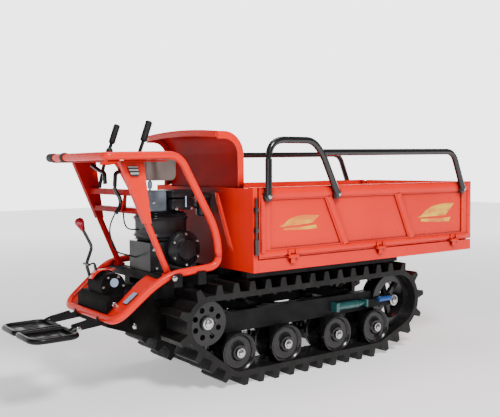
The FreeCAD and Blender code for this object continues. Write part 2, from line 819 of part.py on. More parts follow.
def step():
    """Folding platform for the feet: two ribbed treads on a back bar with hinge ears."""
    half = step_width / 2
    top = step_hinge_z
    back = step_hinge_x - 30
    parts = []
    for side in (-1, 1):
        y0, y1 = sorted((side * 6, side * half))
        parts.append(box(step_tip_x, back, y0, y1, top - step_thickness, top))
        y0, y1 = sorted((side * step_ear_y, side * (step_ear_y + step_ear)))
        parts.append(box(back - 20, step_hinge_x, y0, y1, top - 18, top + 14))
        parts.append(rod((step_hinge_x, y0, top), (step_hinge_x, y1, top), 18))
    parts.append(box(back - 30, back, -half, half, top - step_thickness, top))
    bore = rod((step_hinge_x, -half, top), (step_hinge_x, half, top), step_pin_radius + running_gap)
    return union(parts).cut(bore)


def latch():
    """Rod latch on the front post, with a grip at its foot."""
    x = bed_front_x + 12
    y = -half_bed
    parts = [rod((x, y - 9, 660), (x, y - 9, 850), 4)]
    for z in (700, 790):
        parts.append(box(x - 9, x + 9, y - 15, y, z, z + 16))
    parts.append(rod((x, y - 9, 600), (x, y - 9, 668), 9))
    return union(parts)


def lever():
    y = -lever_y
    return bent_rod([(lever_x - 30, y, 896.2), (lever_x - 6, y, 1000), (lever_x + 34, y, 1100)], 60, 8)


def grip():
    y = -lever_y
    shaft = rod((lever_x + 34.3, y, 1100.8), (lever_x + 66, y, 1188), 15)
    return shaft.makeFillet(6, [e for e in shaft.Edges if isinstance(e.Curve, Part.Circle)])


def gear_lever():
    return bent_rod([(-835, 95, 441), (-850, 95, 560), (-822, 95, 640), (-880, 95, 728)], 25, 6)


def gear_knob():
    return rod((-880.3, 95, 728.6), (-904, 95, 762), 18)


both_sides("track", track())
both_sides("sprocket", drive_sprocket())
both_sides("rollers", Part.makeCompound([roller(x) for x in roller_x]))
both_sides("idler", idler())
both_sides("track_frame", track_frame())
both_sides("tensioner", tensioner())
nodes["chassis_frame"] = chassis()
nodes["tip_pins"] = tip_pins()
nodes["lift_barrel"] = lift_barrel()
nodes["lift_rod"] = lift_rod()
nodes["lift_bracket"] = lift_bracket()
nodes["bed_floor"] = bed_floor()
nodes["bed_runners"] = bed_runners()
nodes["front_wall"] = front_wall()
nodes["hood"] = hood()
nodes["tail_posts"] = tail_posts()
both_sides("side_board", side_board())
both_sides("board_hinges", board_hinges())
both_sides("side_rail", side_rail())
nodes["tailgate"] = tailgate()
both_sides("guard_tube", guard_tube())
both_sides("console_leg", leg())
nodes["console_bars"] = console_bars()
nodes["console_panel"] = console_panel()
nodes["leg_bars"] = leg_bars()
nodes["fender"] = fender()
nodes["gear_case"] = gear_case()
nodes["engine_crankcase"] = engine_crankcase()
nodes["engine_cylinder"] = engine_cylinder()
nodes["fan_housing"] = fan_housing()
nodes["air_filter"] = air_filter()
nodes["muffler"] = muffler()
nodes["fuel_tank"] = fuel_tank()
nodes["step_bracket"] = step_bracket()
nodes["foot_step"] = step()
both_sides("latch", latch())
both_sides("lever", lever())
both_sides("grip", grip())
nodes["gear_lever"] = gear_lever()
nodes["gear_knob"] = gear_knob()

os.makedirs("parts", exist_ok=True)
for name, shape in nodes.items():
    shape.exportStep("parts/" + name + ".step")
    box_ = shape.BoundBox
    print(name, shape.isValid(), len(shape.Solids), [round(v) for v in (box_.XMin, box_.XMax, box_.YMin, box_.YMax, box_.ZMin, box_.ZMax)])
print("idler", idler_x)
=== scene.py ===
import json
import math

import bmesh
import bpy
import numpy as np
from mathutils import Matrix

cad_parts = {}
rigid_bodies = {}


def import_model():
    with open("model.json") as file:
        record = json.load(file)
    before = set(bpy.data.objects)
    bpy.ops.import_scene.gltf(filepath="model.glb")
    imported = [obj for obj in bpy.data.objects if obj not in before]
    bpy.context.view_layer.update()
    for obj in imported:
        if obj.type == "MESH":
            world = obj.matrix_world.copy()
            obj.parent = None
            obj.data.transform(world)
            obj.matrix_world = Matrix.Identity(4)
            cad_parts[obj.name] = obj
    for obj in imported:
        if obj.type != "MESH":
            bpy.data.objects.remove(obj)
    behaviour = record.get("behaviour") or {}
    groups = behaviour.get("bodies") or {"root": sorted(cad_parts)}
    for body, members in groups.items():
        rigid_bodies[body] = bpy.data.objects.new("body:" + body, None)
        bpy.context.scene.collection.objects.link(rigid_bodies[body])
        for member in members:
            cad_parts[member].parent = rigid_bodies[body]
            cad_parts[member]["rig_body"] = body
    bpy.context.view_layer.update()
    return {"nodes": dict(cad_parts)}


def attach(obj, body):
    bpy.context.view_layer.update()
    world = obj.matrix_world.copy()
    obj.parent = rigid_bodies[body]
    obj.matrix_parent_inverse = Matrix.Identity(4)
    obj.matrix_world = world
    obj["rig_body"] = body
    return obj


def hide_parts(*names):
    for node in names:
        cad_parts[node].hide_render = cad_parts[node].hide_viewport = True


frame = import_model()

# The viewpoint: a hand-held three-quarter view from the operator's end, at chest height. Its place
# was worked out from the bed's edges and the even spacing of the track's lugs.
PHOTO_WIDTH = 500
FOCAL_PIXELS = 744.7
CAMERA_PLACE = (-2.2235, -3.0282, 0.9917)
CAMERA_YAW = math.radians(36.22)
CAMERA_PITCH = math.radians(3.29)
CAMERA_ROLL = math.radians(-0.5)

right = np.array([math.cos(CAMERA_YAW), -math.sin(CAMERA_YAW), 0.0])
ahead = np.array([math.sin(CAMERA_YAW) * math.cos(CAMERA_PITCH),
                  math.cos(CAMERA_YAW) * math.cos(CAMERA_PITCH), -math.sin(CAMERA_PITCH)])
up = np.cross(right, ahead)
camera_matrix = np.eye(4)
camera_matrix[:3, 0] = math.cos(CAMERA_ROLL) * right + math.sin(CAMERA_ROLL) * up
camera_matrix[:3, 1] = math.cos(CAMERA_ROLL) * up - math.sin(CAMERA_ROLL) * right
camera_matrix[:3, 2] = -ahead
camera_matrix[:3, 3] = CAMERA_PLACE
camera_data = bpy.data.cameras.new("view")
camera_data.sensor_width = 36.0
camera_data.lens = FOCAL_PIXELS / PHOTO_WIDTH * camera_data.sensor_width
camera = bpy.data.objects.new("view", camera_data)
bpy.context.scene.collection.objects.link(camera)
bpy.context.scene.camera = camera
camera.matrix_world = [list(row) for row in camera_matrix.T]

# The studio: a plain pale floor that runs back into a pale sky, a broad soft light from the side
# and above, and a weaker one from the operator's end.
FLOOR_HALF = 14.0


def grid_mesh(name, surface, rows, columns, closed_rows=False, closed_columns=False):
    """A mesh from a surface function: point(u, v), with u and v running from 0 to 1 over a grid of
    rows by columns, worked out for the whole grid at once and joined into quads."""
    u, v = np.meshgrid(np.linspace(0, 1, rows, endpoint=not closed_rows),
                       np.linspace(0, 1, columns, endpoint=not closed_columns), indexing="ij")
    points = np.stack(surface(u, v), axis=-1).reshape(-1, 3)
    index = np.arange(rows * columns).reshape(rows, columns)
    if closed_rows:
        index = np.vstack([index, index[:1]])
    if closed_columns:
        index = np.hstack([index, index[:, :1]])
    quads = np.stack([index[:-1, :-1], index[1:, :-1], index[1:, 1:], index[:-1, 1:]], axis=-1).reshape(-1, 4)
    mesh = bpy.data.meshes.new(name)
    mesh.from_pydata(points.tolist(), [], quads.tolist())
    mesh.validate()
    return mesh


def shown(name, mesh, material=None, smooth=True):
    """Put a mesh into the scene under its own name."""
    piece = bpy.data.objects.new(name, mesh)
    bpy.context.scene.collection.objects.link(piece)
    if material is not None:
        mesh.materials.append(material)
    mesh.polygons.foreach_set("use_smooth", [smooth] * len(mesh.polygons))
    return piece


class Finish:
    """A node material that is written down as a list of steps, each joined to the last."""

    def __init__(self, name, colour, roughness, metallic=0.0, coat=0.0, coat_roughness=0.1, specular=0.5):
        self.material = bpy.data.materials.new(name)
        self.material.use_nodes = True
        self.nodes = self.material.node_tree.nodes
        self.links = self.material.node_tree.links
        self.shader = self.nodes["Principled BSDF"]
        self.shader.inputs["Base Color"].default_value = (*colour, 1.0)
        self.shader.inputs["Roughness"].default_value = roughness
        self.shader.inputs["Metallic"].default_value = metallic
        self.shader.inputs["Coat Weight"].default_value = coat
        self.shader.inputs["Coat Roughness"].default_value = coat_roughness
        self.shader.inputs["Specular IOR Level"].default_value = specular
        self.place = self.nodes.new("ShaderNodeTexCoord").outputs["Object"]

    def noise(self, scale, detail=3.0, stretch=(1.0, 1.0, 1.0), roughness=0.5):
        """Cloudy noise on the piece's own place, scale in waves a metre, drawn out along the axes
        whose stretch is small."""
        turn = self.nodes.new("ShaderNodeMapping")
        turn.inputs["Scale"].default_value = stretch
        self.links.new(self.place, turn.inputs["Vector"])
        cloud = self.nodes.new("ShaderNodeTexNoise")
        cloud.inputs["Scale"].default_value = scale
        cloud.inputs["Detail"].default_value = detail
        cloud.inputs["Roughness"].default_value = roughness
        self.links.new(turn.outputs["Vector"], cloud.inputs["Vector"])
        return cloud.outputs["Fac"]

    def ramp(self, source, stops):
        """Colours or greys set against a source value, by (value, colour) stops."""
        ramp = self.nodes.new("ShaderNodeValToRGB")
        ramp.color_ramp.elements[0].position, ramp.color_ramp.elements[1].position = stops[0][0], stops[-1][0]
        for position, _ in stops[1:-1]:
            ramp.color_ramp.elements.new(position)
        for element, (_, colour) in zip(ramp.color_ramp.elements, stops):
            tone = colour if isinstance(colour, tuple) else (colour, colour, colour)
            element.color = (*tone, 1.0)
        self.links.new(source, ramp.inputs["Fac"])
        return ramp.outputs["Color"]

    def mixed(self, under, over, amount):
        """The colour over laid on the colour under by an amount from 0 to 1."""
        mix = self.nodes.new("ShaderNodeMix")
        mix.data_type = "RGBA"
        for socket, value in ((mix.inputs[6], under), (mix.inputs[7], over), (mix.inputs[0], amount)):
            if isinstance(value, tuple):
                socket.default_value = (*value, 1.0)
            elif isinstance(value, float):
                socket.default_value = value
            else:
                self.links.new(value, socket)
        return mix.outputs[2]

    def coloured(self, source):
        self.links.new(source, self.shader.inputs["Base Color"])
        return self

    def roughened(self, source):
        self.links.new(source, self.shader.inputs["Roughness"])
        return self

    def painted_corner_shade(self, distance, tone):
        """Darken the colour in corners and grooves narrower than distance metres: painted shade, where
        little light reaches."""
        open_sky = self.nodes.new("ShaderNodeAmbientOcclusion")
        open_sky.samples = 6
        open_sky.inputs["Distance"].default_value = distance
        clear = self.ramp(open_sky.outputs["AO"], [(0.45, tone), (0.95, 1.0)])
        joined = self.nodes.new("ShaderNodeMix")
        joined.data_type = "RGBA"
        joined.blend_type = "MULTIPLY"
        joined.inputs[0].default_value = 1.0
        base = self.shader.inputs["Base Color"]
        self.links.new(base.links[0].from_socket, joined.inputs[6])
        self.links.new(clear, joined.inputs[7])
        return self.coloured(joined.outputs[2])

    def bumped(self, source, strength, depth):
        """Raise the surface where source is light, by depth metres at full strength."""
        bump = self.nodes.new("ShaderNodeBump")
        bump.inputs["Strength"].default_value = strength
        bump.inputs["Distance"].default_value = depth
        self.links.new(source, bump.inputs["Height"])
        if self.shader.inputs["Normal"].is_linked:
            self.links.new(self.shader.inputs["Normal"].links[0].from_socket, bump.inputs["Normal"])
        self.links.new(bump.outputs["Normal"], self.shader.inputs["Normal"])
        return self


floor_finish = Finish("studio_floor", (0.93, 0.93, 0.93), 0.9)
floor_finish.coloured(floor_finish.ramp(floor_finish.noise(0.4), [(0.3, 0.92), (0.7, 0.95)]))
floor_finish.shader.inputs["Emission Color"].default_value = (1.0, 1.0, 1.0, 1.0)
reach = floor_finish.nodes.new("ShaderNodeVectorMath")
reach.operation = "LENGTH"
floor_finish.links.new(floor_finish.place, reach.inputs[0])
glow = floor_finish.nodes.new("ShaderNodeMapRange")
for socket, value in (("From Min", 2.0), ("From Max", 8.0), ("To Min", 0.5), ("To Max", 1.9)):
    glow.inputs[socket].default_value = value
floor_finish.links.new(reach.outputs["Value"], glow.inputs["Value"])
floor_finish.links.new(glow.outputs["Result"], floor_finish.shader.inputs["Emission Strength"])
floor = shown("studio_floor", grid_mesh("studio_floor", lambda u, v: (
    FLOOR_HALF * (2 * u - 1), FLOOR_HALF * (2 * v - 1), 0 * u - 0.0005), 8, 8), floor_finish.material)


def area_light(name, place, target, size, watts, colour=(1.0, 1.0, 1.0)):
    """A square soft box at place that faces target."""
    lamp = bpy.data.lights.new(name, "AREA")
    lamp.shape = "SQUARE"
    lamp.size = size
    lamp.energy = watts
    lamp.color = colour
    light = bpy.data.objects.new(name, lamp)
    back = np.array(place, float) - np.array(target, float)
    back /= np.linalg.norm(back)
    side = np.cross((0.0, 0.0, 1.0), back)
    side /= np.linalg.norm(side)
    pose = np.eye(4)
    pose[:3, :3] = np.stack([side, np.cross(back, side), back], axis=1)
    pose[:3, 3] = place
    light.matrix_world = [list(row) for row in pose.T]
    bpy.context.scene.collection.objects.link(light)


area_light("key", (-0.9, -3.6, 4.0), (0.0, 0.0, 0.5), 1.1, 270)
area_light("top", (0.4, 0.6, 4.6), (0.0, 0.0, 0.6), 2.6, 70)
area_light("fill", (-3.6, -2.2, 0.9), (-0.4, 0.0, 0.4), 1.4, 14)
sky = bpy.data.worlds.new("pale_sky")
bpy.context.scene.world = sky
sky.use_nodes = True
sky_nodes, sky_links = sky.node_tree.nodes, sky.node_tree.links
facing = sky_nodes.new("ShaderNodeVectorMath")
facing.operation = "DOT_PRODUCT"
facing.inputs[1].default_value = (0.62, 0.785, 0.0)
sky_links.new(sky_nodes.new("ShaderNodeTexCoord").outputs["Generated"], facing.inputs[0])
height = sky_nodes.new("ShaderNodeSeparateXYZ")
sky_links.new(facing.inputs[0].links[0].from_socket, height.inputs[0])


def spread(source, low, high, start, end):
    """Map a source value from low..high to start..end and hold it beyond them."""
    node = sky_nodes.new("ShaderNodeMapRange")
    for socket, value in (("From Min", low), ("From Max", high), ("To Min", start), ("To Max", end)):
        node.inputs[socket].default_value = value
    sky_links.new(source, node.inputs["Value"])
    return node.outputs["Result"]


behind = sky_nodes.new("ShaderNodeMath")
behind.operation = "MULTIPLY"
sky_links.new(spread(facing.outputs["Value"], 0.35, 0.75, 0.0, 1.0), behind.inputs[0])
sky_links.new(spread(height.outputs["Z"], 0.22, 0.36, 1.0, 0.0), behind.inputs[1])
sky_links.new(spread(behind.outputs["Value"], 0.0, 1.0, 0.20, 3.6),
              sky_nodes["Background"].inputs["Strength"])
sky_nodes["Background"].inputs["Color"].default_value = (1.0, 1.0, 1.0, 1.0)

# The chassis: welded box sections in black paint that has dulled and picked up a little dust.
BLACK = (0.004, 0.004, 0.005)
DUST = (0.05, 0.044, 0.038)


def dressed(node, finish, edge=0.0012, angle=32.0):
    """A smooth-shaded copy of a CAD node whose hard edges are rounded off by edge metres, as cut,
    folded and painted metal has them. It stands in the node's place and rides on its body."""
    source = frame["nodes"][node]
    work = bmesh.new()
    work.from_mesh(source.data)
    bmesh.ops.remove_doubles(work, verts=work.verts, dist=2e-5)
    bmesh.ops.dissolve_limit(work, angle_limit=math.radians(0.4), verts=work.verts, edges=work.edges)
    mesh = bpy.data.meshes.new(node + "_look")
    work.to_mesh(mesh)
    work.free()
    mesh.materials.clear()
    piece = shown(node + "_look", mesh, finish.material)
    mesh.set_sharp_from_angle(angle=math.radians(angle))
    if edge > 0:
        bevel = piece.modifiers.new("rounded_edges", "BEVEL")
        bevel.width = edge
        bevel.segments = 2
        bevel.limit_method = "ANGLE"
        bevel.angle_limit = math.radians(angle)
        bevel.harden_normals = True
    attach(piece, source["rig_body"])
    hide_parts(node)
    return piece


black_paint = Finish("black_paint", BLACK, 0.5, specular=0.14)
black_paint.coloured(black_paint.mixed(
    black_paint.ramp(black_paint.noise(7.0), [(0.35, BLACK), (0.7, (0.009, 0.009, 0.010))]),
    DUST, black_paint.ramp(black_paint.noise(38.0, 6.0), [(0.56, 0.0), (0.78, 0.16)])))
black_paint.roughened(black_paint.ramp(black_paint.noise(16.0), [(0.3, 0.40), (0.7, 0.60)]))
black_paint.bumped(black_paint.noise(420.0, 2.0), 0.12, 0.0004)
for node in ("chassis_frame", "track_frame_right", "track_frame_left", "step_bracket"):
    dressed(node, black_paint)
case_grease = Finish("case_grease", (0.003, 0.003, 0.003), 0.6, specular=0.06)
case_grease.coloured(case_grease.ramp(case_grease.noise(18.0, 5.0),
                                      [(0.35, (0.002, 0.002, 0.002)), (0.75, (0.010, 0.009, 0.008))]))
dressed("gear_case", case_grease)

# Wheels: cast-iron drive sprockets, twin-disc rollers and spoked idlers, painted black on the
# face, rubbed to grey metal where the belt runs, with bright turned hubs and cap nuts.


def fixed(name, mesh, finish, beside, stands_for=()):
    """A new piece that is fixed to the same body as the CAD node beside it."""
    piece = shown(name, mesh, finish.material)
    mesh.set_sharp_from_angle(angle=math.radians(38))
    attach(piece, frame["nodes"][beside]["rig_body"])
    if stands_for:
        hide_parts(*stands_for)
    return piece


def turned(name, profile, centre, axis=(0.0, -1.0, 0.0), rounds=40, rows=None):
    """A turned part: the profile's (radius r, distance d) points swept round an axis, so that
    point = centre + d * axis + r * (cos(2 pi v) * side + sin(2 pi v) * other)."""
    table = np.array(profile, float)
    axis = np.array(axis, float) / np.linalg.norm(axis)
    side = np.cross(axis, (0.0, 0.0, 1.0) if abs(axis[2]) < 0.9 else (1.0, 0.0, 0.0))
    side /= np.linalg.norm(side)
    other = np.cross(axis, side)
    rows = rows or len(table)

    def surface(u, v):
        place = u * (len(table) - 1)
        r = np.interp(place, range(len(table)), table[:, 0])
        d = np.interp(place, range(len(table)), table[:, 1])
        turn = 2 * math.pi * v
        return [centre[i] + d * axis[i] + r * (np.cos(turn) * side[i] + np.sin(turn) * other[i]) for i in range(3)]

    return grid_mesh(name, surface, rows, rounds, closed_columns=True)


wheel_iron = Finish("wheel_iron", (0.008, 0.008, 0.009), 0.24, coat=0.3, specular=0.3)
wheel_iron.coloured(wheel_iron.mixed(
    wheel_iron.ramp(wheel_iron.noise(9.0), [(0.3, (0.004, 0.004, 0.005)), (0.7, (0.011, 0.011, 0.012))]),
    (0.16, 0.155, 0.15), wheel_iron.ramp(wheel_iron.noise(55.0, 6.0), [(0.62, 0.0), (0.78, 0.14)])))
wheel_iron.bumped(wheel_iron.noise(260.0, 3.0), 0.18, 0.0005)
bright_steel = Finish("bright_steel", (0.55, 0.55, 0.54), 0.25, metallic=1.0)
bright_steel.roughened(bright_steel.ramp(bright_steel.noise(90.0, 4.0), [(0.3, 0.18), (0.7, 0.38)]))
for node in ("sprocket_right", "sprocket_left", "idler_right", "idler_left"):
    dressed(node, wheel_iron, edge=0.0)
TRACK_Y = 0.243
ROLLER_X = (-0.303, -0.028, 0.296, 0.569)
ROLLER_Z = 0.149
# radius and distance out from the belt's middle plane, from the cap to the inner disc
ROLLER_PROFILE = [
    (0.0, 0.088), (0.014, 0.088), (0.020, 0.084), (0.022, 0.078), (0.034, 0.077), (0.040, 0.066),
                  (0.056, 0.060),
    (0.072, 0.062), (0.078, 0.072), (0.085, 0.077), (0.0905, 0.076), (0.0908, 0.058), (0.080, 0.053),
    (0.034, 0.049), (0.028, 0.030), (0.028, -0.030), (0.034, -0.049), (0.080, -0.053), (0.0908, -0.058),
    (0.0905, -0.076), (0.078, -0.076), (0.040, -0.070), (0.0, -0.070)]
CAP_PROFILE = [(0.0, 0.012), (0.009, 0.0115), (0.0145, 0.008), (0.016, 0.002), (0.022, 0.001),
               (0.022, -0.002)]
for side, hand in ((-1, "right"), (1, "left")):
    out = (0.0, float(side), 0.0)
    for number, x in enumerate(ROLLER_X):
        name = "roller_%s_%d" % (hand, number)
        stood = ["rollers_" + hand] if number == 0 else []
        fixed(name, turned(name, ROLLER_PROFILE, (x, side * TRACK_Y, ROLLER_Z), out, 56), wheel_iron,
              "rollers_" + hand, stood)
        cap = "roller_cap_%s_%d" % (hand, number)
        fixed(cap, turned(cap, CAP_PROFILE, (x, side * (TRACK_Y + 0.0875), ROLLER_Z), out, 20), bright_steel,
              "rollers_" + hand)
    for number, (x, y, z, size) in enumerate(((-0.461, 0.305, 0.299, 1.2), (0.714, 0.3065, 0.271, 1.3))):
        cap = "hub_cap_%s_%d" % (hand, number)
        profile = [(size * r, size * d) for r, d in CAP_PROFILE]
        fixed(cap, turned(cap, profile, (x, side * y, z), out, 24), bright_steel, "sprocket_" + hand)

# Tracks: moulded black rubber belts with rubber lugs, satin, greyed a little by dust.
track_rubber = Finish("track_rubber", (0.008, 0.008, 0.008), 0.5, specular=0.28)
track_rubber.coloured(track_rubber.mixed(
    track_rubber.ramp(track_rubber.noise(5.0), [(0.3, (0.004, 0.004, 0.004)), (0.7, (0.010, 0.010, 0.0095))]),
    (0.055, 0.05, 0.044), track_rubber.ramp(track_rubber.noise(44.0, 7.0), [(0.52, 0.0), (0.8, 0.20)])))
track_rubber.roughened(track_rubber.ramp(track_rubber.noise(20.0), [(0.3, 0.36), (0.7, 0.60)]))
track_rubber.bumped(track_rubber.noise(300.0, 4.0), 0.3, 0.0008)
for node in ("track_right", "track_left"):
    dressed(node, track_rubber, edge=0.0035)

# Grease tensioners: green-blue painted cylinders behind the idlers, each with a blue rod end.


def tube(name, course, radius, rounds=14, closed=False, flat=1.0):
    """A round bar along a course: each ring is course(u) + radius * (cos(2 pi v) * side +
    flat * sin(2 pi v) * other), with side and other square to the course."""
    course = np.array(course, float)
    ahead = np.roll(course, -1, axis=0) - np.roll(course, 1, axis=0)
    if not closed:
        ahead[0], ahead[-1] = course[1] - course[0], course[-1] - course[-2]
    ahead /= np.linalg.norm(ahead, axis=1, keepdims=True)
    side = np.cross(ahead, (0.03, 0.05, 1.0))
    side /= np.linalg.norm(side, axis=1, keepdims=True)
    for i in range(1, len(side)):
        if side[i] @ side[i - 1] < 0:
            side[i] *= -1
    other = np.cross(side, ahead)
    if not closed:
        course = np.vstack([course[:1], course, course[-1:]])
        side, other = (np.vstack([way[:1], way, way[-1:]]) for way in (side, other))
    size = np.full(len(course), radius)
    if not closed:
        size[0] = size[-1] = radius * 0.02

    def surface(u, v):
        row = np.rint(u * (len(course) - (0 if closed else 1))).astype(int) % len(course)
        turn = 2 * math.pi * v
        return [course[row, i] + size[row] * (np.cos(turn) * side[row, i] + flat * np.sin(turn) * other[row,
                i])
                for i in range(3)]

    return grid_mesh(name, surface, len(course), rounds, closed_rows=closed, closed_columns=True)


tensioner_paint = Finish("tensioner_paint", (0.01, 0.07, 0.07), 0.3, coat=0.4)
tensioner_paint.coloured(tensioner_paint.ramp(
    tensioner_paint.noise(30.0), [(0.35, (0.006, 0.05, 0.055)), (0.65, (0.012, 0.09, 0.085))]))
rod_blue = Finish("rod_blue", (0.01, 0.06, 0.24), 0.3, coat=0.4)
rod_blue.coloured(rod_blue.ramp(rod_blue.noise(26.0),
                                [(0.35, (0.008, 0.05, 0.20)), (0.65, (0.015, 0.08, 0.30))]))
for side, hand in ((-1, "right"), (1, "left")):
    dressed("tensioner_" + hand, tensioner_paint)
    name = "tensioner_rod_" + hand
    fixed(name, tube(name, [(x, side * 0.302, 0.285) for x in (0.598, 0.615, 0.640, 0.670, 0.690)], 0.014),
          rod_blue, "tensioner_" + hand)

# Tipping gear: a black hydraulic cylinder with a bright rod, and plain steel pins.
for node in ("lift_barrel", "lift_bracket", "bed_runners"):
    dressed(node, black_paint)
for node in ("lift_rod", "tip_pins"):
    dressed(node, bright_steel)

# The bed: pressed and folded steel sheet in bright orange-red gloss enamel, with a little dust
# low down, and painted shade darkening its corners and grooves. The faces under the hood and on the front
# wall round the engine are painted darker and duller as shade.
RED = (0.84, 0.012, 0.002)
red_enamel = Finish("red_enamel", RED, 0.34, coat=0.08, coat_roughness=0.10, specular=0.25)
red_enamel.coloured(red_enamel.mixed(
    red_enamel.ramp(red_enamel.noise(3.0), [(0.35, (0.80, 0.010, 0.002)), (0.65, (0.88, 0.016, 0.003))]),
    (0.36, 0.03, 0.02), red_enamel.ramp(red_enamel.noise(60.0, 7.0), [(0.62, 0.0), (0.84, 0.10)])))
red_enamel.roughened(red_enamel.ramp(red_enamel.noise(12.0), [(0.3, 0.26), (0.7, 0.40)]))
# The enamel is darkened in its corners and grooves as painted shade.
red_enamel.painted_corner_shade(0.035, 0.12)
# A darker, duller red that paints shade on faces lying in shade: the hood's underside and the parts under the
# console.
shaded_red = Finish("shaded_red", (0.30, 0.0015, 0.001), 0.36, specular=0.07)
shaded_red.coloured(shaded_red.ramp(shaded_red.noise(5.0, 5.0),
                                  [(0.3, (0.26, 0.001, 0.001)), (0.7, (0.50, 0.003, 0.001))]))
# On the front wall the painted shade ends before the corner posts.
wall_shade_red = Finish("wall_shade_red", (0.3, 0.003, 0.001), 0.36, specular=0.1)
across = wall_shade_red.nodes.new("ShaderNodeSeparateXYZ")
wall_shade_red.links.new(wall_shade_red.place, across.inputs[0])
away = wall_shade_red.nodes.new("ShaderNodeMath")
away.operation = "ABSOLUTE"
wall_shade_red.links.new(across.outputs["Y"], away.inputs[0])
wall_shade_red.coloured(wall_shade_red.ramp(away.outputs["Value"],
                                [(0.14, (0.20, 0.001, 0.001)), (0.28, RED)])).painted_corner_shade(0.035, 0.12)
for node in ("bed_floor", "tail_posts", "tailgate", "board_hinges_right", "board_hinges_left",
             "side_board_right", "side_board_left"):
    dressed(node, red_enamel)
HOOD_CURL = (-0.376, 1.040)
for node in ("front_wall", "hood"):
    piece = dressed(node, red_enamel)
    piece.data.materials.append((wall_shade_red if node == "front_wall" else shaded_red).material)
    # Faces in shade, the front wall's face towards the engine and the hood's underside, take the second,
    # shade-painted red.
    for face in piece.data.polygons:
        if node == "front_wall":
            in_shade = face.normal.x < -0.5 and abs(face.center.y) < 0.385
        elif face.center.z < HOOD_CURL[1]:
            in_shade = face.normal.x < -0.5
        else:
            in_shade = (face.normal.x * (HOOD_CURL[0] - face.center.x)
                      + face.normal.z * (HOOD_CURL[1] - face.center.z)) > 0
        face.material_index = int(in_shade)

# The hood's edge: folded over into a flange down each side and across the lip, which is crowned.
HOOD_BACK, HOOD_BEND, HOOD_HALF, HOOD_TOP = -0.2707, 0.105, 0.318, 1.145
curl = [(HOOD_CURL[0] + HOOD_BEND * math.cos(t), HOOD_CURL[1] + HOOD_BEND * math.sin(t))
        for t in np.linspace(0, math.pi / 2, 14)]
hood_edge = np.array([(HOOD_BACK, 0.9), (HOOD_BACK, 0.97)] + curl + [(-0.395, HOOD_TOP), (-0.413, HOOD_TOP)])
inward = np.array([(-1.0, 0.0), (-1.0, 0.0)] + [((HOOD_CURL[0] - x) / HOOD_BEND,
                                                 (HOOD_CURL[1] - z) / HOOD_BEND)
                                               for x, z in curl] + [(0.0, -1.0), (0.0, -1.0)])
for side, hand in ((-1, "right"), (1, "left")):
    name = "hood_flange_" + hand

    def folded(u, v, side=side):
        """Point = edge(u) + depth(v) * inward(u), on a sheet's width that is rounded at its fold."""
        row = np.rint(u * (len(hood_edge) - 1)).astype(int)
        depth = 0.034 * v
        y = side * (HOOD_HALF + 0.0015 - 0.003 * (1 - v) ** 4)
        return (hood_edge[row, 0] + depth * inward[row, 0], y + 0 * u,
                hood_edge[row, 1] + depth * inward[row, 1])

    flange = fixed(name, grid_mesh(name, folded, len(hood_edge), 8), red_enamel, "hood")
    thick = flange.modifiers.new("sheet", "SOLIDIFY")
    thick.thickness = 0.003
    thick.offset = 0.0
lip_course = [(-0.4105, y, 1.139 + 0.014 * (1 - (y / HOOD_HALF) ** 2)) for y in np.linspace(-HOOD_HALF,
        HOOD_HALF, 25)]
fixed("hood_lip", tube("hood_lip", lip_course, 0.0065), red_enamel, "hood")


def lip_flange(u, v):
    """Point = crowned lip(y) - 26 mm * v, turned a little inwards at its lower edge."""
    y = HOOD_HALF * (2 * u - 1)
    return -0.4135 + 0.004 * v ** 2, y, 1.143 + 0.014 * (1 - (y / HOOD_HALF) ** 2) - 0.026 * v


lip_fold = fixed("hood_lip_fold", grid_mesh("hood_lip_fold", lip_flange, 25, 6), red_enamel, "hood")
thick = lip_fold.modifiers.new("sheet", "SOLIDIFY")
thick.thickness = 0.003
thick.offset = 1.0

# Pressed ribs on the front wall, slanted down and outwards each side of the engine.
for side, hand in ((-1, "right"), (1, "left")):
    name = "wall_rib_" + hand

    def rib(u, v, side=side):
        """Point = low end + u * run, with a rounded ridge 9 mm * sin(pi v) high across its width."""
        y = side * (0.262 - 0.125 * u + 0.034 * (v - 0.5))
        ends = np.clip(8 * np.minimum(u, 1 - u), 0, 1)
        return (-0.2995 - 0.009 * np.sin(math.pi * v) ** 0.6 * ends, y, 0.60 + 0.27 * u)

    fixed(name, grid_mesh(name, rib, 24, 10), red_enamel, "front_wall")

# The pressed frame of each board stands proud round its three fields: a rolled edge along the
# top, a bead along the bottom, upright ends and two slanted ribs, all of the same sheet.
BOARD_FACE = 0.4245
# start and end along the bed and in height, then the width
BEADS = [((-0.262, 0.868), (1.192, 0.868), 0.048), ((-0.262, 0.600), (1.192, 0.600), 0.030),
         ((-0.248, 0.600), (-0.248, 0.868), 0.026), ((1.178, 0.600), (1.178, 0.868), 0.028),
         ((0.142, 0.850), (0.255, 0.610), 0.036), ((0.615, 0.850), (0.722, 0.610), 0.036)]
for side, hand in ((-1, "right"), (1, "left")):
    for number, (start, end, width) in enumerate(BEADS):
        name = "board_bead_%s_%d" % (hand, number)
        run = np.array(end) - np.array(start)
        across = np.array([-run[1], run[0]]) / np.linalg.norm(run)

        def bead(u, v, side=side, start=start, run=run, across=across, width=width):
            """Point = start + u * run + width * (v - 0.5) * across, 9 mm * sin(pi v) ** 0.35 proud."""
            ends = np.clip(40 * np.minimum(u, 1 - u), 0, 1) ** 0.5
            place = width * (v - 0.5)
            proud = 0.0085 * np.sin(math.pi * np.clip(v, 0, 1)) ** 0.35 * ends
            return (start[0] + u * run[0] + place * across[0], side * (BOARD_FACE + proud),
                    start[1] + u * run[1] + place * across[1])

        fixed(name, grid_mesh(name, bead, 40, 12), red_enamel, "side_board_" + hand)

# Stickers on the near and far boards: yellow and orange swooshes with no words.


